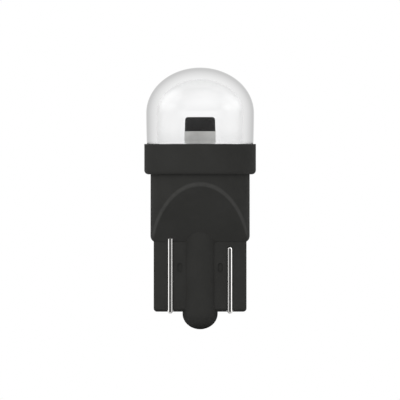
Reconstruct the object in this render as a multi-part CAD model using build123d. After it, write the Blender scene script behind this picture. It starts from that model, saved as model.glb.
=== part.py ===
from build123d import *
import os
from math import cos, radians, sqrt, tan

# Wedge base LED bulb, in millimetres.
# The origin is the middle of the wedge's lower edge. +Z runs up the bulb's axis
# to the dome, X across the wedge's width, and the front faces -Y.
# The rear is the front turned half a turn about Z.

# Wedge: the flat blade that a holder's springs grip
wedge_width = 9.5
wedge_thickness = 2.1
wedge_height = 7.06
wedge_corner_radius = 0.35
wedge_lead_in = 0.3

# Rib: a round spine down both faces of the wedge, with a ball end below it
rib_diameter = 3.6
ball_drop = 0.2
ball_height = 1.6

# Dimples beside the rib, where the springs click home
dimple_width = 0.5
dimple_height = 0.95
dimple_depth = 0.15
dimple_level = 4.5
dimple_gap = 0.27

# Body: a cylinder that two inclined flats narrow down to the wedge
body_diameter = 10.15
body_height = 6.99
body_edge_radius = 0.7
body_wall = 0.88
flat_angle = 33.95
flat_edge_radius = 0.4
flat_wall = 0.8
floor_thickness = 1.18

# Collar: the wider ring that carries the dome
collar_overhang = 0.635
collar_height = 3.11
collar_edge_radius = 0.43
collar_wall = 0.71
collar_bore_depth = 2.2

# Dome: clear shell with a spigot that is bonded into the collar
dome_seat_width = 0.41
dome_swell = 0.055
dome_side_height = 3.17
dome_crown_height = 4.65
dome_crown_wall = 1.05
spigot_wall = 0.54
spigot_length = 1.5
spigot_clearance = 0.05

# Heat post: a turned pillar on a flange that closes the chamber
post_diameter = 3.2
post_height = 1.31
post_foot_radius = 0.4
flange_thickness = 0.6
flange_clearance = 0.05

# Light source on the post: board, ceramic chip and phosphor layer
led_board_thickness = 0.4
led_chip_size = 1.1
led_chip_thickness = 0.25
phosphor_size = 0.9
phosphor_thickness = 0.18

# Cap: a drafted black ring round the light source
cap_step = 0.03
cap_wall = 0.25
cap_height = 1.45
cap_draft = 0.045
cap_edge_radius = 0.3
cap_rim_width = 0.1
cap_throat_clearance = 0.06
cap_board_clearance = 0.05

# Leads from the driver board up to the light source
lead_diameter = 0.3
lead_hole_clearance = 0.03
lead_rise = 0.12
sleeve_wall = 0.16
sleeve_clearance = 0.02
sleeve_drop = 0.2

# Contact wires: bent round the wedge's lower edge and hooked into its other face
wire_diameter = 0.56
wire_clearance = 0.02
wire_inset = 1.145
wire_edge_stand_out = 0.2
wire_edge_bend = 0.32
wire_tip_bend = 0.32
wire_tip_top = 6.67
wire_tip_depth = 0.9
wire_joint_height = 1.6

# Driver board: stands on the chamber's floor, in two guide grooves
board_thickness = 1.6
board_clearance = 0.05
board_guide_depth = 0.25
board_top_gap = 0.4

# Parts on the driver board: width along X, height along Z, depth off its face
part_gap = 0.2
resistor_width = 1.6
resistor_height = 0.8
resistor_depth = 0.45
rectifier_width = 3.2
rectifier_height = 2.0
rectifier_depth = 1.1
regulator_width = 2.5
regulator_height = 1.4
regulator_depth = 1.1
capacitor_width = 1.0
capacitor_height = 2.0
capacitor_depth = 1.0
diode_width = 1.1
diode_height = 1.8
diode_depth = 1.0
terminal_width = 0.4
terminal_reach = 0.35
terminal_thickness = 0.15

# Solder: cones on the board's faces and on the light source's board
wire_solder_radius = 0.62
wire_solder_height = 0.66
lead_solder_radius = 0.42
lead_solder_height = 0.42
lead_solder_inset = 0.06
led_solder_radius = 0.25
led_solder_height = 0.2
solder_taper = 0.5

# Levels and radii that follow from the sizes above
body_radius = body_diameter / 2
collar_radius = body_radius + collar_overhang
bore_radius = collar_radius - collar_wall
chamber_radius = body_radius - body_wall
wire_radius = wire_diameter / 2
rib_radius = rib_diameter / 2
dimple_offset = rib_radius + dimple_gap
wire_offset = chamber_radius - wire_inset
post_radius = post_diameter / 2
cap_radius = post_radius - cap_step
recess_radius = cap_radius - cap_wall
led_board_radius = recess_radius - cap_board_clearance
lead_radius = lead_diameter / 2
half_wedge = wedge_thickness / 2
half_board = board_thickness / 2

collar_level = wedge_height + body_height
rim_level = collar_level + collar_height
ledge_level = rim_level - collar_bore_depth
floor_level = wedge_height + floor_thickness
post_top = rim_level + post_height
board_top = ledge_level - board_top_gap
flat_wall_across = flat_wall / cos(radians(flat_angle))

# A wire lies on the board's face, a lead too, one on each side
wire_plane = half_board + wire_radius
lead_plane = half_board + lead_radius
wire_top = floor_level + wire_joint_height
lead_joint_level = board_top - lead_solder_inset - lead_solder_radius
lead_foot = lead_joint_level - lead_radius
sleeve_radius = lead_radius + lead_hole_clearance + sleeve_wall


def flat_depth(level):
    """Distance of an inclined flat from the axis plane, at a level."""
    return half_wedge + (level - wedge_height) * tan(radians(flat_angle))


def clear_level(reach):
    """Lowest level where the chamber's inclined wall is that far from the axis plane."""
    outside = reach + flat_wall_across
    return wedge_height + (outside - half_wedge) / tan(radians(flat_angle))


def clear_offset(depth):
    """Farthest from the axis, along X, that a board part of that depth clears the wall."""
    reach = half_board + depth
    return sqrt(chamber_radius**2 - reach**2) - part_gap


def disc(radius, bottom, top):
    """A cylinder on the bulb's axis, between two levels."""
    return Pos(0, 0, bottom) * extrude(Circle(radius), top - bottom)


def half_turn(part):
    """The same piece on the other side: half a turn about the bulb's axis."""
    return Rot(0, 0, 180) * part


def block(x, y, z, width, depth, height):
    """A box with its middle at x, y and its bottom at z."""
    return Pos(x, y, z + height / 2) * Box(width, depth, height)


def prism_along_x(points, length):
    """A Y-Z outline carried along X, to both sides of the axis."""
    outline = make_face(Polyline(*[(0, y, z) for y, z in points], close=True))
    return extrude(outline, length / 2, dir=(1, 0, 0), both=True)


def between_flats(offset, bottom, top):
    """The space between the two inclined planes, moved in by an offset."""
    low = flat_depth(bottom) - offset
    high = flat_depth(top) - offset
    points = [(-low, bottom), (low, bottom), (high, top), (-high, top)]
    return prism_along_x(points, 4 * collar_radius)


def body_shape():
    """Turned column with a round lower edge, cut by the flats, its arches softened."""
    profile = Rectangle(body_radius, body_height, align=(Align.MIN, Align.MIN))
    corner = profile.vertices().group_by(Axis.X)[-1].sort_by(Axis.Y)[0]
    profile = Plane.XZ * fillet(corner, body_edge_radius)
    column = Pos(0, 0, wedge_height) * revolve(profile, Axis.Z)
    column = column & between_flats(0, wedge_height, collar_level)
    arches = [
        edge
        for edge in column.edges()
        if edge.geom_type in (GeomType.ELLIPSE, GeomType.BSPLINE)
    ]
    return fillet(arches, flat_edge_radius)


def collar_shape():
    """Ring with a soft lower edge and a sharp rim."""
    ring = disc(collar_radius, collar_level, rim_level)
    lower_edge = ring.edges().filter_by(GeomType.CIRCLE).sort_by(Axis.Z)[0]
    return fillet(lower_edge, collar_edge_radius)


def wedge_shape():
    """Blade: front outline with round corners, side outline with a lead-in."""
    top = wedge_height + body_edge_radius
    front = Rectangle(wedge_width, top, align=(Align.CENTER, Align.MIN))
    corners = front.vertices().sort_by(Axis.Y)[:2]
    front = Plane.XZ * fillet(corners, wedge_corner_radius)
    front = extrude(front, wedge_thickness, both=True)
    tip = half_wedge - wedge_lead_in
    side = [
        (-tip, 0),
        (tip, 0),
        (half_wedge, wedge_lead_in),
        (half_wedge, top),
        (-half_wedge, top),
        (-half_wedge, wedge_lead_in),
    ]
    return front & prism_along_x(side, 2 * wedge_width)


def rib_shape():
    """Spine that runs out where the inclined flats reach its radius."""
    top = wedge_height + (rib_radius - half_wedge) / tan(radians(flat_angle))
    ball = quarter_ellipse(rib_radius, -ball_drop, -ball_height)
    side = Polyline(ball @ 0, (rib_radius, top), (0, top), ball @ 1)
    return revolve(Plane.XZ * make_face([ball, side]), Axis.Z)


def dimple_pair():
    """Two small slots in the front face, left and right of the rib."""
    slot = Plane.XZ * SlotOverall(dimple_height, dimple_width, rotation=90)
    pit = extrude(slot, dimple_depth, both=True)
    return [
        Pos(side * dimple_offset, -half_wedge, dimple_level) * pit
        for side in (-1, 1)
    ]


def wire_shape(radius, top):
    """Round wire on the left: down the front, under the edge, up and hooked in."""
    edge = wire_radius - wire_edge_stand_out
    tip_level = wire_tip_top - wire_radius
    tip_end = wire_plane - wire_tip_depth
    path = FilletPolyline(
        (-wire_offset, -wire_plane, top),
        (-wire_offset, -wire_plane, edge),
        (-wire_offset, wire_plane, edge),
        (-wire_offset, wire_plane, tip_level),
        (-wire_offset, tip_end, tip_level),
        radius=[wire_edge_bend, wire_edge_bend, wire_tip_bend],
    )
    start = Plane(origin=path @ 0, z_dir=path % 0)
    return sweep(start * Circle(radius), path=path)


def chamber_shape():
    """Space for the driver board, its guide grooves, and the collar's bore."""
    room = disc(chamber_radius, floor_level, ledge_level)
    room = room & between_flats(flat_wall_across, floor_level, ledge_level)
    slot = block(
        0,
        0,
        floor_level,
        2 * (chamber_radius + board_guide_depth),
        board_thickness + 2 * board_clearance,
        ledge_level - floor_level,
    )
    bore = disc(bore_radius, ledge_level, rim_level)
    return room + slot + bore


def base_housing():
    """One black moulding from the collar down to the wedge's ball end."""
    housing = body_shape() + collar_shape() + wedge_shape() + rib_shape()
    housing = housing - chamber_shape()
    opened = clear_level(wire_plane + wire_radius + part_gap)
    groove = wire_shape(wire_radius + wire_clearance, opened)
    housing = housing - groove - half_turn(groove)
    for pit in dimple_pair():
        housing = housing - pit - half_turn(pit)
    return housing


def quarter_ellipse(radius, level, height):
    """A crown's outline, from its widest point up and in to the axis."""
    weights = (1, 0.5**0.5, 1)
    ends = ((radius, level), (radius, level + height), (0, level + height))
    return Bezier(*ends, weights=weights)


def dome_lens():
    """Clear shell: straight side, elliptical crown, spigot below the seat."""
    spigot_outer = bore_radius - spigot_clearance
    spigot_inner = spigot_outer - spigot_wall
    seat_outer = bore_radius + dome_seat_width + spigot_clearance
    side_top = rim_level + dome_side_height
    foot = rim_level - spigot_length
    inner_height = dome_crown_height - dome_crown_wall
    outer = quarter_ellipse(seat_outer + dome_swell, side_top, dome_crown_height)
    inner = quarter_ellipse(spigot_inner + dome_swell, side_top, inner_height)
    lines = Polyline(
        inner @ 0,
        (spigot_inner, rim_level),
        (spigot_inner, foot),
        (spigot_outer, foot),
        (spigot_outer, rim_level),
        (seat_outer, rim_level),
        outer @ 0,
    )
    axis_line = Line(outer @ 1, inner @ 1)
    section = make_face([outer, inner, lines, axis_line])
    return revolve(Plane.XZ * section, Axis.Z)


def heat_post():
    """Flange on the chamber's ledge, and the pillar with its two lead holes."""
    flange_top = ledge_level + flange_thickness
    flange = disc(bore_radius - flange_clearance, ledge_level, flange_top)
    post = flange + disc(post_radius, flange_top, post_top)
    foot = [
        edge
        for edge in post.edges().filter_by(GeomType.CIRCLE)
        if abs(edge.center().Z - flange_top) < 0.001
    ]
    foot = min(foot, key=lambda edge: edge.radius)
    post = fillet(foot, post_foot_radius)
    hole = disc(sleeve_radius + sleeve_clearance, ledge_level, post_top)
    for side in (-1, 1):
        post = post - Pos(0, side * lead_plane, 0) * hole
    return post


def led_board():
    """Round board on the post, with a hole for each lead."""
    board_level = post_top + led_board_thickness
    board = disc(led_board_radius, post_top, board_level)
    hole = disc(lead_radius + lead_hole_clearance, post_top, board_level)
    for side in (-1, 1):
        board = board - Pos(0, side * lead_plane, 0) * hole
    return board


def led_cap():
    """Drafted ring: a recess over the board, and a cone that opens upwards."""
    head_radius = cap_radius - cap_draft
    ceiling = led_board_thickness + led_chip_thickness + cap_throat_clearance
    throat = phosphor_size / 2 * 2**0.5 + cap_throat_clearance
    mouth = head_radius - cap_edge_radius - cap_rim_width
    outline = Polyline(
        (cap_radius, 0),
        (head_radius, cap_height),
        (mouth, cap_height),
        (throat, ceiling),
        (recess_radius, ceiling),
        (recess_radius, 0),
        close=True,
    )
    section = make_face(outline)
    shoulder = max(section.vertices(), key=lambda v: v.X + 10 * v.Y)
    section = fillet(shoulder, cap_edge_radius)
    return Pos(0, 0, post_top) * revolve(Plane.XZ * section, Axis.Z)


def led_lead():
    """Straight lead on the driver board's front face, up to the light source."""
    high = post_top + led_board_thickness + lead_rise
    return Pos(0, -lead_plane, 0) * disc(lead_radius, lead_foot, high)


def lead_sleeve():
    """Insulating tube round the front lead, through the flange and the post."""
    low = ledge_level - sleeve_drop
    tube = disc(sleeve_radius, low, post_top)
    tube = tube - disc(lead_radius + lead_hole_clearance, low, post_top)
    return Pos(0, -lead_plane, 0) * tube


def driver_board():
    """Plain board, upright across the chamber, between the guide grooves."""
    width = 2 * (chamber_radius + board_guide_depth - board_clearance)
    return block(0, 0, floor_level, width, board_thickness, board_top - floor_level)


def solder_cone(radius, height):
    """Cone with its base on the plane z = 0."""
    return Cone(
        radius,
        radius * solder_taper,
        height,
        align=(Align.CENTER, Align.CENTER, Align.MIN),
    )


def wire_bed(x, radius, low, high):
    """Straight-sided room for a round wire that lies on the board's front face."""
    bed = block(x, -half_board - radius / 2, low, 2 * radius, radius, high - low)
    return bed + Pos(x, -half_board - radius, 0) * disc(radius, low, high)


def wire_solder():
    """Joint over the left wire's end, on the board's front face."""
    cone = Rot(90, 0, 0) * solder_cone(wire_solder_radius, wire_solder_height)
    cone = Pos(-wire_offset, -half_board, wire_top - wire_radius) * cone
    return cone - wire_bed(-wire_offset, wire_radius, floor_level, wire_top)


def lead_solder():
    """Joint over the front lead's lower end, on the board's front face."""
    cone = Rot(90, 0, 0) * solder_cone(lead_solder_radius, lead_solder_height)
    cone = Pos(0, -half_board, lead_joint_level) * cone
    return cone - wire_bed(0, lead_radius, lead_foot, board_top)


def led_solder():
    """Joint round the front lead's upper end, on the light source's board."""
    cone = solder_cone(led_solder_radius, led_solder_height)
    return Pos(0, -lead_plane, post_top + led_board_thickness) * cone - led_lead()


def moulded(x, bottom, width, height, depth):
    """A board part's body, with its base on the front face."""
    return block(x, -half_board - depth / 2, bottom, width, depth, height)


def terminal(body_depth):
    """Bent strip: out of a body's side at half depth, down to the board, and out.

    The body's side is the plane x = 0, and the board's face is y = 0.
    """
    height = body_depth / 2
    rise = block(
        terminal_reach / 2,
        -height / 2,
        -terminal_width / 2,
        terminal_thickness,
        height,
        terminal_width,
    )
    arm = block(
        terminal_reach / 4,
        -height + terminal_thickness / 2,
        -terminal_width / 2,
        terminal_reach / 2,
        terminal_thickness,
        terminal_width,
    )
    foot = block(
        terminal_reach * 3 / 4,
        -terminal_thickness / 2,
        -terminal_width / 2,
        terminal_reach / 2,
        terminal_thickness,
        terminal_width,
    )
    return arm + rise + foot


def side_terminals(x, level, width, body_depth):
    """A terminal on the left and one on the right of a body."""
    strip = Pos(width / 2, 0, 0) * terminal(body_depth)
    other = Rot(0, 180, 0) * strip
    place = Pos(x, -half_board, level)
    return [place * strip, place * other]


def end_terminals(x, middle, height, body_depth):
    """A terminal above a body and one below it."""
    strip = Rot(0, -90, 0) * (Pos(height / 2, 0, 0) * terminal(body_depth))
    other = Rot(0, 180, 0) * strip
    place = Pos(x, -half_board, middle)
    return [place * strip, place * other]


def board_parts():
    """Every part on the two faces of the driver board, by node name."""
    resistor_level = clear_level(half_board + resistor_depth + part_gap)
    resistor = moulded(
        0, resistor_level, resistor_width, resistor_height, resistor_depth
    )
    step = resistor_width + part_gap
    parts = {
        "resistor_1": resistor,
        "resistor_2": Pos(step, 0, 0) * resistor,
        "resistor_3": half_turn(resistor),
        "resistor_4": half_turn(Pos(step, 0, 0) * resistor),
    }

    under_lead = lead_joint_level - lead_solder_radius - part_gap
    row_level = under_lead - rectifier_height
    parts["bridge_rectifier"] = moulded(
        0, row_level, rectifier_width, rectifier_height, rectifier_depth
    )
    pins = []
    for share in (1, 3):
        level = row_level + rectifier_height * share / 4
        pins += side_terminals(0, level, rectifier_width, rectifier_depth)
    parts["rectifier_pins"] = Compound(children=pins)

    regulator_level = under_lead - terminal_reach - regulator_height
    regulator = moulded(
        0, regulator_level, regulator_width, regulator_height, regulator_depth
    )
    parts["current_regulator"] = half_turn(regulator)
    pins = []
    for share in (-1, 0, 1):
        x = share * regulator_width / 3
        middle = regulator_level + regulator_height / 2
        pins += end_terminals(x, middle, regulator_height, regulator_depth)
    parts["regulator_pins"] = Compound(children=[half_turn(pin) for pin in pins])

    side_top = board_top - part_gap
    parts["smoothing_capacitor"] = half_turn(
        moulded(
            clear_offset(capacitor_depth) - capacitor_width / 2,
            side_top - capacitor_height,
            capacitor_width,
            capacitor_height,
            capacitor_depth,
        )
    )
    diode_x = diode_width / 2 - clear_offset(diode_depth)
    diode_level = side_top - terminal_reach - diode_height
    parts["surge_diode"] = half_turn(
        moulded(diode_x, diode_level, diode_width, diode_height, diode_depth)
    )
    pins = end_terminals(
        diode_x, diode_level + diode_height / 2, diode_height, diode_depth
    )
    parts["diode_pins"] = Compound(children=[half_turn(pin) for pin in pins])
    return parts


def all_parts():
    """Every node of the bulb, by name."""
    chip_level = post_top + led_board_thickness
    phosphor_level = chip_level + led_chip_thickness
    wire = wire_shape(wire_radius, wire_top)
    parts = {
        "base_housing": base_housing(),
        "dome_lens": dome_lens(),
        "heat_post": heat_post(),
        "led_board": led_board(),
        "led_chip": block(
            0, 0, chip_level, led_chip_size, led_chip_size, led_chip_thickness
        ),
        "led_phosphor": block(
            0, 0, phosphor_level, phosphor_size, phosphor_size, phosphor_thickness
        ),
        "led_cap": led_cap(),
        "led_lead_front": led_lead(),
        "led_lead_rear": half_turn(led_lead()),
        "lead_sleeve_front": lead_sleeve(),
        "lead_sleeve_rear": half_turn(lead_sleeve()),
        "driver_board": driver_board(),
        "contact_wire_left": wire,
        "contact_wire_right": half_turn(wire),
    }
    parts.update(board_parts())
    for name, joint in (
        ("wire_solder", wire_solder()),
        ("lead_solder", lead_solder()),
        ("led_solder", led_solder()),
    ):
        parts[name] = Compound(children=[joint, half_turn(joint)])
    return parts


os.makedirs("parts", exist_ok=True)
for name, part in all_parts().items():
    export_step(part, f"parts/{name}.step")
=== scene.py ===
from math import cos, pi, radians, sin, tan

import bpy
from mathutils import Matrix, Vector


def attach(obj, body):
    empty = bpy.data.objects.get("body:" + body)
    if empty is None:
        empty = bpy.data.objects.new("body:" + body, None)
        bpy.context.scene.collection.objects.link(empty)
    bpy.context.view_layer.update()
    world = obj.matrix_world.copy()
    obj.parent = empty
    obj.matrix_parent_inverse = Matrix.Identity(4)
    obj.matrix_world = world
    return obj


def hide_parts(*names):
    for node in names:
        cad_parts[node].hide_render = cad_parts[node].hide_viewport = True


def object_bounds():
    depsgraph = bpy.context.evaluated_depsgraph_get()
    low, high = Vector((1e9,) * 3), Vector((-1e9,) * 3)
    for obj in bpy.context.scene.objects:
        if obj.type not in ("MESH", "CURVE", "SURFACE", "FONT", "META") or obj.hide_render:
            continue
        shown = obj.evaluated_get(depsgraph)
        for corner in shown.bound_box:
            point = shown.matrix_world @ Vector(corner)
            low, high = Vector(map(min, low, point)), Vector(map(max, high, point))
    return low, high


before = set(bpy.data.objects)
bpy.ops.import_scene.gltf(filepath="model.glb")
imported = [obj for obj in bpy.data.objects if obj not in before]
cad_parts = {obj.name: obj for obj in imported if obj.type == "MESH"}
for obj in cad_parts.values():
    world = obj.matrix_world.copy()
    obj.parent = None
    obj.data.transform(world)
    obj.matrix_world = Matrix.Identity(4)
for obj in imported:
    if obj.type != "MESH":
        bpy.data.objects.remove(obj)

cad_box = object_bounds()
MM = 0.001

# Photograph: square, level at the front, with no perspective
PHOTO_PX = 400
PX_PER_MM = 9.774
AXIS_PX = 200.1
EDGE_PX = 311.7
CAMERA_DISTANCE = 0.4

# Shapes that repeat the CAD source's sizes, in millimetres
WEDGE_HEIGHT = 7.06
HALF_WEDGE = 1.05
BODY_RADIUS = 5.075
FLAT_ANGLE = 33.95
RIM_LEVEL = 17.16
DOME_FOOT = 15.66
DOME_SEAT = 5.46
DOME_WIDEST = 5.515
DOME_SIDE_TOP = 20.33
DOME_TOP = 24.98
SPIGOT_OUTER = 4.95
SPIGOT_INNER = 4.41
INNER_WIDEST = 4.465
INNER_TOP = 23.93
WIRE_X = 3.05
WIRE_Y = 1.08
WIRE_RADIUS = 0.28
WIRE_TOP = 9.84
WIRE_EDGE = 0.08
WIRE_TIP_LEVEL = 6.39
WIRE_TIP_END = 0.18

# Shapes that are finer here than in the CAD source, in millimetres
WIRE_CREASE = 0.12
WIRE_TIP_BEND = 0.2
WIRE_END_TRIM = 0.05
SPIGOT_TRIM = 0.08
SEAT_TRIM = 0.06
SEAT_GAP = 0.004


# Camera
def add_camera():
    """Level camera in front, at the photograph's scale."""
    data = bpy.data.cameras.new("camera")
    data.type = "ORTHO"
    data.ortho_scale = PHOTO_PX / PX_PER_MM * MM
    data.clip_start = 0.001
    data.clip_end = 10
    camera = bpy.data.objects.new("camera", data)
    middle = PHOTO_PX / 2
    x = (middle - AXIS_PX) / PX_PER_MM * MM
    z = (EDGE_PX - middle) / PX_PER_MM * MM
    camera.location = (x, -CAMERA_DISTANCE, z)
    camera.rotation_euler = (radians(90), 0, 0)
    bpy.context.scene.collection.objects.link(camera)
    bpy.context.scene.camera = camera


# Shader nodes
class Tree:
    """A node tree, with short ways to add and join nodes."""

    def __init__(self, owner):
        owner.use_nodes = True
        self.nodes = owner.node_tree.nodes
        self.links = owner.node_tree.links

    def add(self, kind, inputs=None, **settings):
        """A new node; an input's value is a number, a colour or another node's socket."""
        node = self.nodes.new(kind)
        for name, value in settings.items():
            setattr(node, name, value)
        for name, value in (inputs or {}).items():
            self.fill(node, name, value)
        return node

    def fill(self, node, name, value):
        if isinstance(value, bpy.types.NodeSocket):
            self.links.new(value, node.inputs[name])
        else:
            node.inputs[name].default_value = value

    def math(self, operation, first, second=0.0):
        node = self.add("ShaderNodeMath", {0: first, 1: second}, operation=operation)
        return node.outputs[0]

    def smooth(self, value, low, high, start=0.0, end=1.0):
        """start up to low, end from high on, with a soft change between."""
        ends = {"From Min": low, "From Max": high, "To Min": start, "To Max": end}
        inputs = {"Value": value, **ends}
        node = self.add("ShaderNodeMapRange", inputs, interpolation_type="SMOOTHSTEP")
        return node.outputs["Result"]

    def blend(self, factor, first, second):
        """Mix of two colours."""
        node = self.add("ShaderNodeMix", data_type="RGBA")
        self.fill(node, "Factor", factor)
        self.fill(node, "A", first)
        self.fill(node, "B", second)
        return node.outputs["Result"]

    def dot(self, first, second):
        """Dot product of two vectors."""
        inputs = {0: first, 1: second}
        node = self.add("ShaderNodeVectorMath", inputs, operation="DOT_PRODUCT")
        return node.outputs["Value"]

    def length(self, vector):
        node = self.add("ShaderNodeVectorMath", {0: vector}, operation="LENGTH")
        return node.outputs["Value"]

    def seen(self, path):
        """1 for what the camera sees, straight on or through glass."""
        rays = (path.outputs["Is Camera Ray"], path.outputs["Is Transmission Ray"])
        return self.math("MAXIMUM", *rays)


def grey(level):
    return (level, level, level, 1)


# World, lamp and floor

# Light levels: on matt surfaces, and in gloss of the darker camera side and of the panels.
# The inner levels are for reflections seen through the dome's skin, the others for first ones.
STUDIO_LEVEL = 0.8
CAMERA_SIDE_LEVEL = 0.1
INNER_SIDE_LEVEL = 0.85
SOFTBOX_LEVEL = 3.6
INNER_SOFTBOX_LEVEL = 2.2
UPPER_PANEL_LEVEL = 1.65

# Where the darker camera side fades: degrees off the camera's direction, and of elevation
SIDE_REACH = (50, 64)
SIDE_RISE = (8, 32)


def toward(azimuth, elevation):
    """Unit direction. Azimuth 0 is the camera's side, 90 is to the right."""
    turn = radians(azimuth)
    rise = radians(elevation)
    return Vector((sin(turn) * cos(rise), -cos(turn) * cos(rise), sin(rise)))


def softbox(tree, direction, azimuth, elevation, lean, half_width, half_height):
    """1 in the middle of a soft-edged panel on the world's sphere, 0 outside it."""
    aim = toward(azimuth, elevation)
    across = Vector((0, 0, 1)).cross(aim).normalized()
    across = Matrix.Rotation(radians(lean), 3, aim) @ across
    upward = aim.cross(across)
    shares = []
    for axis, half in ((across, half_width), (upward, half_height)):
        share = tree.math("ABSOLUTE", tree.dot(direction, axis / half))
        shares.append(tree.math("POWER", share, 2))
    inside = tree.smooth(tree.math("ADD", *shares), low=0, high=1, start=1, end=0)
    ahead = tree.math("GREATER_THAN", tree.dot(direction, aim), 0)
    return tree.math("MULTIPLY", inside, ahead)


def camera_side(tree, direction):
    """1 round the camera's direction, near the level, and 0 far from it."""
    parts = tree.add("ShaderNodeSeparateXYZ", {"Vector": direction})
    to_camera = tree.math("MULTIPLY", parts.outputs["Y"], -1)
    near, far = (cos(radians(angle)) for angle in SIDE_REACH)
    ahead = tree.smooth(to_camera, far, near)
    rise = tree.math("ABSOLUTE", parts.outputs["Z"])
    low, high = (sin(radians(angle)) for angle in SIDE_RISE)
    level = tree.smooth(rise, low, high, start=1, end=0)
    return tree.math("MULTIPLY", ahead, level)


def add_world():
    """White behind the object and in glass; gloss shows soft panels and a darker camera side."""
    world = bpy.data.worlds.new("studio")
    bpy.context.scene.world = world
    tree = Tree(world)
    path = tree.add("ShaderNodeLightPath")
    direction = tree.add("ShaderNodeTexCoord").outputs["Generated"]
    first = tree.math("LESS_THAN", path.outputs["Transmission Depth"], 1)
    side_level = tree.blend(first, grey(INNER_SIDE_LEVEL), grey(CAMERA_SIDE_LEVEL))
    gloss = tree.blend(camera_side(tree, direction), grey(1), side_level)
    upper = softbox(
        tree, direction, azimuth=40, elevation=46, lean=0, half_width=0.85, half_height=0.55
    )
    gloss = tree.blend(upper, gloss, grey(UPPER_PANEL_LEVEL))
    left = softbox(
        tree, direction, azimuth=-78, elevation=29, lean=-8, half_width=0.46, half_height=0.62
    )
    right = softbox(
        tree, direction, azimuth=76, elevation=22, lean=10, half_width=0.48, half_height=0.51
    )
    panel_level = tree.blend(first, grey(INNER_SOFTBOX_LEVEL), grey(SOFTBOX_LEVEL))
    gloss = tree.blend(tree.math("MAXIMUM", left, right), gloss, panel_level)
    matt_or_gloss = tree.blend(path.outputs["Is Glossy Ray"], grey(STUDIO_LEVEL), gloss)
    colour = tree.blend(tree.seen(path), matt_or_gloss, grey(1))
    tree.fill(tree.nodes["Background"], "Color", colour)


def add_lamp():
    """Large lamp low in front, unseen: gloss and glass show the world's panels in its place."""
    distance = 0.4
    width = 0.3
    power = 0.56
    data = bpy.data.lights.new("key_lamp", "AREA")
    data.shape = "SQUARE"
    data.size = width
    data.energy = power
    lamp = bpy.data.objects.new("key_lamp", data)
    aim = toward(azimuth=-20, elevation=24)
    lamp.location = Vector((0, 0, RIM_LEVEL * MM)) + aim * distance
    lamp.rotation_euler = aim.to_track_quat("Z", "Y").to_euler()
    lamp.visible_camera = False
    lamp.visible_glossy = False
    lamp.visible_transmission = False
    bpy.context.scene.collection.objects.link(lamp)


def add_floor():
    """Pale sheet under the ball end, which fades into the white behind it."""
    level = cad_box[0].z
    half = 0.2
    fade_start = 0.05
    fade_end = 0.14
    corners = [(-half, -half), (half, -half), (half, half), (-half, half)]
    mesh = bpy.data.meshes.new("floor")
    mesh.from_pydata([(x, y, level) for x, y in corners], [], [(0, 1, 2, 3)])
    floor = bpy.data.objects.new("floor", mesh)
    bpy.context.scene.collection.objects.link(floor)
    paper = surface("floor_paper", dark=0.90, light=0.93, size=20, rough=(0.85, 0.95))
    tree = Tree(paper)
    fade = tree.smooth(tree.length(place(tree)), fade_start, fade_end)
    seen = tree.seen(tree.add("ShaderNodeLightPath"))
    white = tree.add("ShaderNodeEmission", {"Color": grey(1), "Strength": 1.0})
    mix = tree.add("ShaderNodeMixShader", {0: tree.math("MULTIPLY", fade, seen)})
    tree.links.new(tree.nodes["Principled BSDF"].outputs[0], mix.inputs[1])
    tree.links.new(white.outputs[0], mix.inputs[2])
    tree.links.new(mix.outputs[0], tree.nodes["Material Output"].inputs["Surface"])
    mesh.materials.append(paper)


# Materials: sizes, depths and widths in them are in millimetres

# Soft patches: noise up to the low mark shows the first look, from the high mark on the second
NOISE_LOW = 0.3
NOISE_HIGH = 0.7

# Painted shade set into the dome's glass colour: in its wall at the side, in its wall at the
# crown, at its foot
SIDE_SHADE = 0.26
CROWN_SHADE = 0.15
FOOT_SHADE = 0.09

# Where that grey changes: to the crown's this far below the top, from the foot's above the rim
CROWN_FADE = 1.5
FOOT_FADE = (0.3, 1.8)

# The same grey by facing, 0 square on and 1 edge-on: full shade, then a darker rim's two ends
SHADE_TURN = 0.25
RIM_TURN = (0.24, 0.95)
RIM_CLEARNESS = 0.06

# Painted highlight along the housing's arches: how far it reaches below the surface, to each side,
# and above the wedge
ARCH_DEPTH = (0.25, 0.4)
ARCH_WIDTH = (0.06, 0.22)
ARCH_START = (0.2, 1)


def material(name):
    made = bpy.data.materials.new(name)
    return made, Tree(made)


def place(tree):
    """Position on the object, in metres."""
    return tree.add("ShaderNodeTexCoord").outputs["Object"]


def place_axes(tree):
    """Position's X, Y and Z, in metres."""
    parts = tree.add("ShaderNodeSeparateXYZ", {"Vector": place(tree)})
    return [parts.outputs[axis] for axis in "XYZ"]


def pair(tree, first, second):
    """Vector of two numbers."""
    node = tree.add("ShaderNodeCombineXYZ", {"X": first, "Y": second})
    return node.outputs["Vector"]


def metres(sizes):
    return [size * MM for size in sizes]


def noise(tree, size, detail=3.0, where=None):
    """Noise from 0 to 1 with features about this size."""
    where = where or place(tree)
    inputs = {"Vector": where, "Scale": 1 / (size * MM), "Detail": detail}
    return tree.add("ShaderNodeTexNoise", inputs).outputs["Fac"]


def mottle(tree, size, start=0.0, end=1.0):
    """Soft patches about this size, from start to end."""
    return tree.smooth(noise(tree, size), NOISE_LOW, NOISE_HIGH, start, end)


def bump(tree, height, depth, normal=None):
    inputs = {"Height": height, "Distance": depth * MM, "Strength": 1.0}
    node = tree.add("ShaderNodeBump", inputs)
    if normal:
        tree.fill(node, "Normal", normal)
    return node.outputs["Normal"]


def colour_of(value):
    return grey(value) if isinstance(value, (int, float)) else (*value, 1)


def dress(tree, colour, roughness, normal=None, **constants):
    """Sets the shader: linked colour, roughness and normal, and plain numbers for the rest."""
    shader = tree.nodes["Principled BSDF"]
    tree.fill(shader, "Base Color", colour)
    tree.fill(shader, "Roughness", roughness)
    if normal:
        tree.fill(shader, "Normal", normal)
    for name, value in constants.items():
        shader.inputs[name.replace("_", " ")].default_value = value


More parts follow.
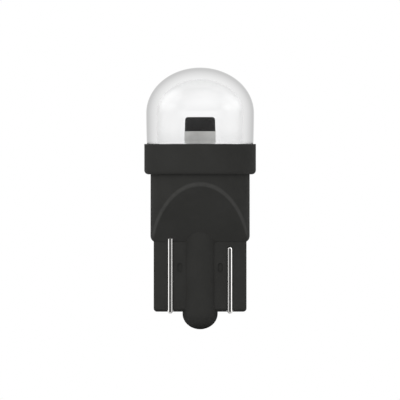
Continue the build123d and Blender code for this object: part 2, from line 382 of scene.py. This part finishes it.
def surface(name, dark, light, size, rough, grain=None, **constants):
    """Mottled surface: two colours, a range of roughness, and a grain of (size, depth)."""
    rough_patches_per_patch = 5
    made, tree = material(name)
    colour = tree.blend(mottle(tree, size), colour_of(dark), colour_of(light))
    roughness = mottle(tree, size / rough_patches_per_patch, *rough)
    normal = None
    if grain:
        grain_size, grain_depth = grain
        normal = bump(tree, noise(tree, grain_size), grain_depth)
    dress(tree, colour, roughness, normal, **constants)
    return made


def painted_arch_highlight(tree):
    """Mask for a painted highlight: 1 along the arches, where the inclined flats meet the body's
    side, and 0 elsewhere.
    """
    x, y, z = place_axes(tree)
    slope = radians(FLAT_ANGLE)
    below_side = tree.math("SUBTRACT", BODY_RADIUS * MM, tree.length(pair(tree, x, y)))
    rise = tree.math("SUBTRACT", z, WEDGE_HEIGHT * MM)
    flat = tree.math("ADD", tree.math("MULTIPLY", rise, tan(slope)), HALF_WEDGE * MM)
    below_flat = tree.math("SUBTRACT", flat, tree.math("ABSOLUTE", y))
    below_flat = tree.math("MULTIPLY", below_flat, cos(slope))
    below_both = tree.math("MAXIMUM", below_side, below_flat)
    near = tree.smooth(below_both, *metres(ARCH_DEPTH), start=1, end=0)
    off_arch = tree.math("SUBTRACT", tree.length(pair(tree, x, flat)), BODY_RADIUS * MM)
    off_arch = tree.math("ABSOLUTE", off_arch)
    narrow = tree.smooth(off_arch, *metres(ARCH_WIDTH), start=1, end=0)
    above_wedge = tree.smooth(rise, *metres(ARCH_START))
    return tree.math("MULTIPLY", tree.math("MULTIPLY", near, narrow), above_wedge)


def moulding():
    """Black housing: fine spark grain, and a painted highlight, paler along the arches' edges."""
    black = ((0.0292, 0.0292, 0.0277, 1), (0.0322, 0.0322, 0.0306, 1))
    # Painted highlight colour: paler black for the arches' edges, where the edge would catch the
    # light
    arch_highlight_colour = (0.050, 0.050, 0.048, 1)
    made, tree = material("black_moulding_grain")
    uneven = tree.smooth(noise(tree, size=0.6), low=0.2, high=0.6, start=0.7, end=1)
    # Painted highlight along the arches, made uneven by noise
    arch_highlight_share = tree.math("MULTIPLY", painted_arch_highlight(tree), uneven)
    colour = tree.blend(mottle(tree, size=2.2), *black)
    colour = tree.blend(arch_highlight_share, colour, arch_highlight_colour)
    roughness = mottle(tree, size=0.35, start=0.66, end=0.78)
    fine = bump(tree, noise(tree, size=0.09, detail=2), depth=0.004)
    normal = bump(tree, noise(tree, size=0.9, detail=2), depth=0.006, normal=fine)
    dress(tree, colour, roughness, normal, Specular_IOR_Level=0.02)
    return made


def painted_rim_clearness(tree):
    """Painted shade for the darker rim that refraction shows: less clear where the skin turns
    edge-on, and more so at the side than at the crown.
    """
    facing = tree.add("ShaderNodeLayerWeight", {"Blend": 0.5}).outputs["Facing"]
    z = place_axes(tree)[2]
    side_top, crown_start = metres((DOME_SIDE_TOP, DOME_TOP - CROWN_FADE))
    depth = tree.smooth(z, side_top, crown_start, SIDE_SHADE, CROWN_SHADE)
    wall = tree.math("MULTIPLY", tree.smooth(facing, 0, SHADE_TURN), depth)
    rim = tree.smooth(facing, *RIM_TURN, start=1, end=RIM_CLEARNESS)
    return tree.math("MULTIPLY", tree.math("SUBTRACT", 1, wall), rim)


def painted_foot_clearness(tree):
    """Painted shade of the collar: a little less clear just above it."""
    z = place_axes(tree)[2]
    low, high = metres(RIM_LEVEL + height for height in FOOT_FADE)
    return tree.smooth(z, low, high, 1 - FOOT_SHADE, 1)


def clear(name, clearness, gloss):
    """Clear plastic, greyed by its clearness, which carries painted shade. Gloss scales its
    reflections.
    """
    tones = ((0.985, 0.986, 0.988, 1), (0.995, 0.996, 0.997, 1))
    roughness = 0.0
    made, tree = material(name)
    colour = tree.blend(mottle(tree, size=3.5), *tones)
    # Painted shade: the clearness greys the glass's colour towards black
    colour = tree.blend(clearness(tree), grey(0), colour)
    normal = bump(tree, noise(tree, size=2.5, detail=1), depth=0.002)
    plain = {"Transmission_Weight": 1.0, "IOR": 1.49, "Specular_Tint": grey(gloss)}
    dress(tree, colour, roughness, normal, **plain)
    return made


def turned(name, dark, light, rough, ring, depth):
    """Turned metal: fine rings round the bulb's axis, on sides and faces."""
    made, tree = material(name)
    x, y, z = place_axes(tree)
    reach = tree.length(pair(tree, x, y))
    rings = noise(tree, ring, where=pair(tree, reach, z))
    colour = tree.blend(rings, colour_of(dark), colour_of(light))
    roughness = mottle(tree, size=0.8, start=rough[0], end=rough[1])
    dress(tree, colour, roughness, bump(tree, rings, depth), Metallic=1.0)
    return made


def drawn(name, dark, light, rough):
    """Drawn wire: hair lines along Z, and duller patches."""
    stretch = 0.03
    made, tree = material(name)
    inputs = {"Vector": place(tree), "Scale": (1, 1, stretch)}
    along = tree.add("ShaderNodeMapping", inputs).outputs["Vector"]
    lines = noise(tree, size=0.06, detail=2, where=along)
    patches = tree.smooth(noise(tree, size=0.5), low=0.35, high=NOISE_HIGH)
    colour = tree.blend(patches, colour_of(dark), colour_of(light))
    roughness = tree.smooth(patches, low=0, high=1, start=rough[1], end=rough[0])
    dress(tree, colour, roughness, bump(tree, lines, depth=0.0001), Metallic=1.0)
    return made


def laminate(name, dark, light):
    """Board material: mottled, with the glass cloth's weave showing faintly."""
    fineness = 600.0
    made, tree = material(name)
    weave = []
    for axis in ("X", "Z"):
        inputs = {"Vector": place(tree), "Scale": fineness, "Distortion": 0.4, "Detail": 1.0}
        wave = tree.add("ShaderNodeTexWave", inputs, bands_direction=axis)
        weave.append(wave.outputs["Fac"])
    cloth = tree.math("MULTIPLY", *weave)
    colour = tree.blend(cloth, colour_of(dark), colour_of(light))
    roughness = mottle(tree, size=0.7, start=0.3, end=0.42)
    dress(tree, colour, roughness, bump(tree, cloth, depth=0.006))
    return made


def paint(made, *nodes):
    """Gives CAD nodes a material."""
    for name in nodes:
        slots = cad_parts[name].data.materials
        slots.clear()
        slots.append(made)


def paint_cad():
    paint(moulding(), "base_housing")
    paint_light_source()
    paint_leads()
    paint_board()


def paint_light_source():
    cap = surface(
        "cap_black",
        dark=0.0165,
        light=0.0205,
        size=0.9,
        rough=(0.6, 0.7),
        grain=(0.1, 0.004),
        Specular_IOR_Level=0.04,
    )
    paint(cap, "led_cap")
    post = turned(
        "post_turned",
        dark=(0.62, 0.62, 0.61),
        light=(0.69, 0.69, 0.68),
        rough=(0.8, 0.9),
        ring=0.08,
        depth=0.003,
    )
    paint(post, "heat_post")
    white = surface(
        "board_white", dark=0.78, light=0.85, size=0.6, rough=(0.3, 0.4), grain=(0.1, 0.003)
    )
    paint(white, "led_board")
    ceramic = surface(
        "chip_white", dark=0.72, light=0.8, size=0.3, rough=(0.5, 0.6), grain=(0.05, 0.003)
    )
    paint(ceramic, "led_chip")
    yellow = surface(
        "phosphor_grain",
        dark=(0.80, 0.50, 0.03),
        light=(0.90, 0.68, 0.10),
        size=0.08,
        rough=(0.5, 0.7),
        grain=(0.04, 0.006),
    )
    paint(yellow, "led_phosphor")


def paint_leads():
    sleeve = surface(
        "sleeve_white", dark=0.74, light=0.8, size=0.8, rough=(0.25, 0.35), grain=(0.2, 0.004)
    )
    paint(sleeve, "lead_sleeve_front", "lead_sleeve_rear")
    tinned = drawn(
        "lead_tinned", dark=(0.5, 0.49, 0.46), light=(0.66, 0.65, 0.62), rough=(0.2, 0.35)
    )
    paint(tinned, "led_lead_front", "led_lead_rear")
    joint = surface(
        "solder_frosted",
        dark=(0.45, 0.45, 0.44),
        light=(0.62, 0.62, 0.61),
        size=0.15,
        rough=(0.2, 0.45),
        grain=(0.08, 0.008),
        Metallic=1.0,
    )
    paint(joint, "wire_solder", "lead_solder", "led_solder")


def paint_board():
    green = laminate("board_green", dark=(0.012, 0.075, 0.028), light=(0.022, 0.12, 0.045))
    paint(green, "driver_board")
    epoxy = surface(
        "package_black",
        dark=0.014,
        light=0.024,
        size=0.25,
        rough=(0.45, 0.6),
        grain=(0.05, 0.004),
    )
    paint(epoxy, "bridge_rectifier", "current_regulator", "surge_diode")
    film = surface(
        "resistor_glaze", dark=0.012, light=0.02, size=0.3, rough=(0.2, 0.3), grain=(0.15, 0.004)
    )
    paint(film, "resistor_1", "resistor_2", "resistor_3", "resistor_4")
    brown = surface(
        "capacitor_brown",
        dark=(0.36, 0.22, 0.11),
        light=(0.46, 0.30, 0.16),
        size=0.3,
        rough=(0.35, 0.5),
        grain=(0.06, 0.004),
    )
    paint(brown, "smoothing_capacitor")
    pins = surface(
        "pin_tin",
        dark=(0.5, 0.5, 0.48),
        light=(0.66, 0.66, 0.63),
        size=0.2,
        rough=(0.25, 0.4),
        grain=(0.05, 0.003),
        Metallic=1.0,
    )
    paint(pins, "rectifier_pins", "regulator_pins", "diode_pins")


# Detailed pieces that stand for CAD nodes
def add_piece(name, points, faces, materials, slot, *nodes):
    """Smooth mesh in the root body, in place of CAD nodes. Points are in millimetres."""
    mesh = bpy.data.meshes.new(name)
    mesh.from_pydata([Vector(point) * MM for point in points], [], faces)
    for made in materials:
        mesh.materials.append(made)
    mesh.shade_smooth()
    piece = bpy.data.objects.new(name, mesh)
    bpy.context.scene.collection.objects.link(piece)
    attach(piece, "root")
    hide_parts(*nodes)
    return piece


def bands(rings, around):
    """Faces between each ring of points and the next. Rings are given by number."""
    faces = []
    for low, high in zip(rings, rings[1:]):
        for step in range(around):
            after = (step + 1) % around
            corners = ((low, step), (low, after), (high, after), (high, step))
            faces.append(tuple(ring * around + spot for ring, spot in corners))
    return faces


def fan(ring, tip, around):
    """Faces that close a ring to the point at its tip."""
    start = ring * around
    return [(start + step, start + (step + 1) % around, tip) for step in range(around)]


def turned_over(faces):
    return [face[::-1] for face in faces]


def side_line(foot, widest, low):
    """Line up from the foot's radius, bulging to the widest at the side's top."""
    steps = 12
    line = []
    for step in range(1, steps + 1):
        share = step / steps
        radius = foot + (widest - foot) * sin(share * pi / 2)
        line.append((radius, low + (DOME_SIDE_TOP - low) * share))
    return line


def crown_line(widest, top):
    """Quarter ellipse from the side's top in to just short of the axis."""
    steps = 56
    height = top - DOME_SIDE_TOP
    turns = [pi / 2 * step / steps for step in range(1, steps)]
    return [(widest * cos(turn), DOME_SIDE_TOP + height * sin(turn)) for turn in turns]


def dome_lines():
    """Outlines of the dome's outer and inner skins, from the foot up, as (radius, level)."""
    outer = [
        (SPIGOT_INNER + SPIGOT_TRIM, DOME_FOOT),
        (SPIGOT_OUTER - SPIGOT_TRIM, DOME_FOOT),
        (SPIGOT_OUTER, DOME_FOOT + SPIGOT_TRIM),
        (SPIGOT_OUTER, RIM_LEVEL + SEAT_GAP),
        (DOME_SEAT - SEAT_TRIM, RIM_LEVEL + SEAT_GAP),
        (DOME_SEAT, RIM_LEVEL + SEAT_TRIM),
    ]
    outer += side_line(DOME_SEAT, DOME_WIDEST, RIM_LEVEL + SEAT_TRIM)
    outer += crown_line(DOME_WIDEST, DOME_TOP)
    inner = [(SPIGOT_INNER, DOME_FOOT + SPIGOT_TRIM), (SPIGOT_INNER, RIM_LEVEL)]
    inner += side_line(SPIGOT_INNER, INNER_WIDEST, RIM_LEVEL)
    inner += crown_line(INNER_WIDEST, INNER_TOP)
    return outer, inner


def add_dome():
    """Clear shell, turned from its outlines with fine steps so that it refracts smoothly."""
    around = 160
    outer, inner = dome_lines()
    points = []
    for radius, level in outer + inner:
        for step in range(around):
            turn = 2 * pi * step / around
            points.append((radius * cos(turn), radius * sin(turn), level))
    outer_tip = len(points)
    inner_tip = outer_tip + 1
    points += [(0, 0, DOME_TOP), (0, 0, INNER_TOP)]
    outer_rings = range(len(outer))
    inner_rings = [0, *range(len(outer), len(outer + inner))]
    outside = bands(outer_rings, around) + fan(outer_rings[-1], outer_tip, around)
    inside = bands(inner_rings, around) + fan(inner_rings[-1], inner_tip, around)
    faces = outside + turned_over(inside)
    skins = [
        clear("dome_outer_skin", painted_rim_clearness, gloss=1),
        clear("dome_inner_skin", painted_foot_clearness, gloss=0.2),
    ]
    dome = add_piece("clear_dome", points, faces, skins, "clear_dome", "dome_lens")
    for number, polygon in enumerate(dome.data.polygons):
        polygon.material_index = 0 if number < len(outside) else 1
    dome.visible_shadow = False
    dome.visible_diffuse = False
    dome.visible_glossy = False


def wire_line(off):
    """One of the left wire's lines, off mm outside its middle: down, under the edge, up and in."""
    corners = [
        ((-WIRE_Y - off, WIRE_TOP), 0),
        ((-WIRE_Y - off, WIRE_EDGE - off), WIRE_CREASE),
        ((WIRE_Y + off, WIRE_EDGE - off), WIRE_CREASE),
        ((WIRE_Y + off, WIRE_TIP_LEVEL + off), WIRE_TIP_BEND),
        ((WIRE_TIP_END, WIRE_TIP_LEVEL + off), 0),
    ]
    steps_along = (40, 8, 26, 4)
    steps_round = 8
    spots = [Vector(spot) for spot, bend in corners]
    bends = [bend for spot, bend in corners]
    line = []
    for number, steps in enumerate(steps_along):
        start, end = spots[number:number + 2]
        ahead = (end - start).normalized()
        first = start + ahead * bends[number]
        bend = bends[number + 1]
        last = end - ahead * bend
        shares = [(1 - cos(pi * step / steps)) / 2 for step in range(steps + 1)]
        line += [first.lerp(last, share) for share in shares]
        if bend:
            onward = (spots[number + 2] - end).normalized()
            middle = end + (onward - ahead) * bend
            for step in range(1, steps_round):
                turn = pi / 2 * step / steps_round
                line.append(middle + (ahead * sin(turn) - onward * cos(turn)) * bend)
    return line


def add_wire(name, node, turned_round, skin):
    """Round wire laid from lines along it, with its cut ends' edges taken off."""
    around = 32
    end_radius = WIRE_RADIUS - WIRE_END_TRIM
    lines = []
    for step in range(around):
        turn = 2 * pi * step / around
        line = wire_line(WIRE_RADIUS * cos(turn))
        line[0].y -= WIRE_END_TRIM
        line[-1].x += WIRE_END_TRIM
        trimmed = wire_line(end_radius * cos(turn))
        radii = [end_radius, *[WIRE_RADIUS] * len(line), end_radius]
        line = [trimmed[0], *line, trimmed[-1]]
        lines.append([(radius * sin(turn) - WIRE_X, point) for radius, point in zip(radii, line)])
    side = -1 if turned_round else 1
    points = []
    for ring in zip(*lines):
        points += [(side * x, side * point.x, point.y) for x, point in ring]
    rings = range(len(points) // around)
    faces = bands(rings, around)
    faces.append(tuple(range(around))[::-1])
    faces.append(tuple(range(rings[-1] * around, len(points))))
    add_piece(name, points, faces, [skin], "contact_metal", node)


def add_wires():
    skin = drawn(
        "contact_drawn", dark=(0.80, 0.79, 0.77), light=(0.85, 0.84, 0.82), rough=(0.03, 0.05)
    )
    add_wire("left_wire", "contact_wire_left", turned_round=False, skin=skin)
    add_wire("right_wire", "contact_wire_right", turned_round=True, skin=skin)


add_camera()
add_world()
add_lamp()
add_floor()
paint_cad()
add_dome()
add_wires()

bpy.context.scene.view_settings.view_transform = "Standard"
